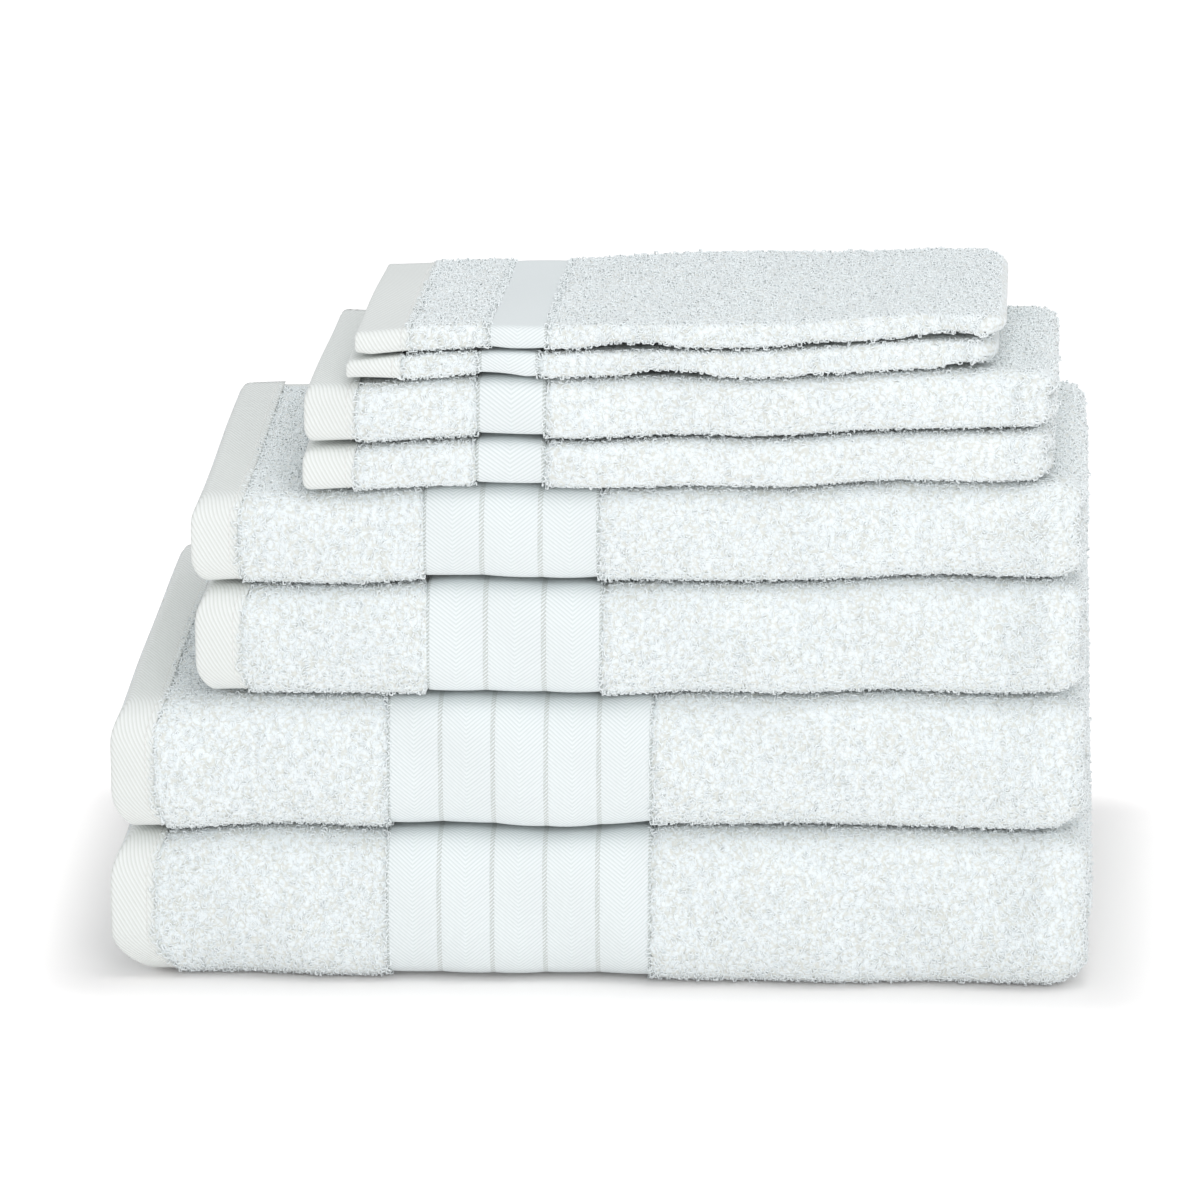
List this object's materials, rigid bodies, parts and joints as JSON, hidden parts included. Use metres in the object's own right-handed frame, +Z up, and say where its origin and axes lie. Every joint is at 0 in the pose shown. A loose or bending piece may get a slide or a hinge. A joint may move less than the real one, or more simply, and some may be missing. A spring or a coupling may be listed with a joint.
{
  "type": "bath towel set",
  "caption": "Neatly folded stack of terry bath linen: bath towels below, hand towels, guest towels and wash mitts above, each with a woven border and a sewn hem.",
  "frame": {"origin": "on the surface the stack stands on, under the middle of the bath towels, which are its widest and deepest pieces", "axes": "+X along the front from the hemmed open ends to the folded ends, +Y from the front folds to the back, +Z up"},
  "size_m": [0.331, 0.217, 0.2339],
  "materials": {
    "cotton_terry": "matt looped terry pile, bleached white cotton",
    "herringbone_border": "flat herringbone weave with openwork lines, faint satin gloss, white cotton",
    "twill_hem": "flat diagonal twill, turned and stitched, white cotton"
  },
  "bodies": {
    "bath_towel_lower": {"bath_towel_lower_cloth": "cotton_terry", "bath_towel_lower_border": "herringbone_border", "bath_towel_lower_hem": "twill_hem"},
    "bath_towel_upper": {"bath_towel_upper_cloth": "cotton_terry", "bath_towel_upper_border": "herringbone_border", "bath_towel_upper_hem": "twill_hem"},
    "hand_towel_lower": {"hand_towel_lower_cloth": "cotton_terry", "hand_towel_lower_border": "herringbone_border", "hand_towel_lower_hem": "twill_hem"},
    "hand_towel_upper": {"hand_towel_upper_cloth": "cotton_terry", "hand_towel_upper_border": "herringbone_border", "hand_towel_upper_hem": "twill_hem"},
    "guest_towel_lower": {"guest_towel_lower_cloth": "cotton_terry", "guest_towel_lower_border": "herringbone_border", "guest_towel_lower_hem": "twill_hem"},
    "guest_towel_upper": {"guest_towel_upper_cloth": "cotton_terry", "guest_towel_upper_border": "herringbone_border", "guest_towel_upper_hem": "twill_hem"},
    "wash_mitt_lower": {"wash_mitt_lower_top_side": "cotton_terry", "wash_mitt_lower_bottom_side": "cotton_terry", "wash_mitt_lower_border": "herringbone_border", "wash_mitt_lower_hem": "twill_hem"},
    "wash_mitt_upper": {"wash_mitt_upper_top_side": "cotton_terry", "wash_mitt_upper_bottom_side": "cotton_terry", "wash_mitt_upper_border": "herringbone_border", "wash_mitt_upper_hem": "twill_hem"}
  },
  "joints": [
    {"name": "bath_towel_upper_lift", "type": "slide", "parent": "bath_towel_lower", "child": "bath_towel_upper", "axis": [0, 0, 1], "range_m": [0, 0.1]},
    {"name": "hand_towel_lower_lift", "type": "slide", "parent": "bath_towel_upper", "child": "hand_towel_lower", "axis": [0, 0, 1], "range_m": [0, 0.1]},
    {"name": "hand_towel_upper_lift", "type": "slide", "parent": "hand_towel_lower", "child": "hand_towel_upper", "axis": [0, 0, 1], "range_m": [0, 0.1]},
    {"name": "guest_towel_lower_lift", "type": "slide", "parent": "hand_towel_upper", "child": "guest_towel_lower", "axis": [0, 0, 1], "range_m": [0, 0.1]},
    {"name": "guest_towel_upper_lift", "type": "slide", "parent": "guest_towel_lower", "child": "guest_towel_upper", "axis": [0, 0, 1], "range_m": [0, 0.1]},
    {"name": "wash_mitt_lower_lift", "type": "slide", "parent": "guest_towel_upper", "child": "wash_mitt_lower", "axis": [0, 0, 1], "range_m": [0, 0.1]},
    {"name": "wash_mitt_upper_lift", "type": "slide", "parent": "wash_mitt_lower", "child": "wash_mitt_upper", "axis": [0, 0, 1], "range_m": [0, 0.1]}
  ]
}
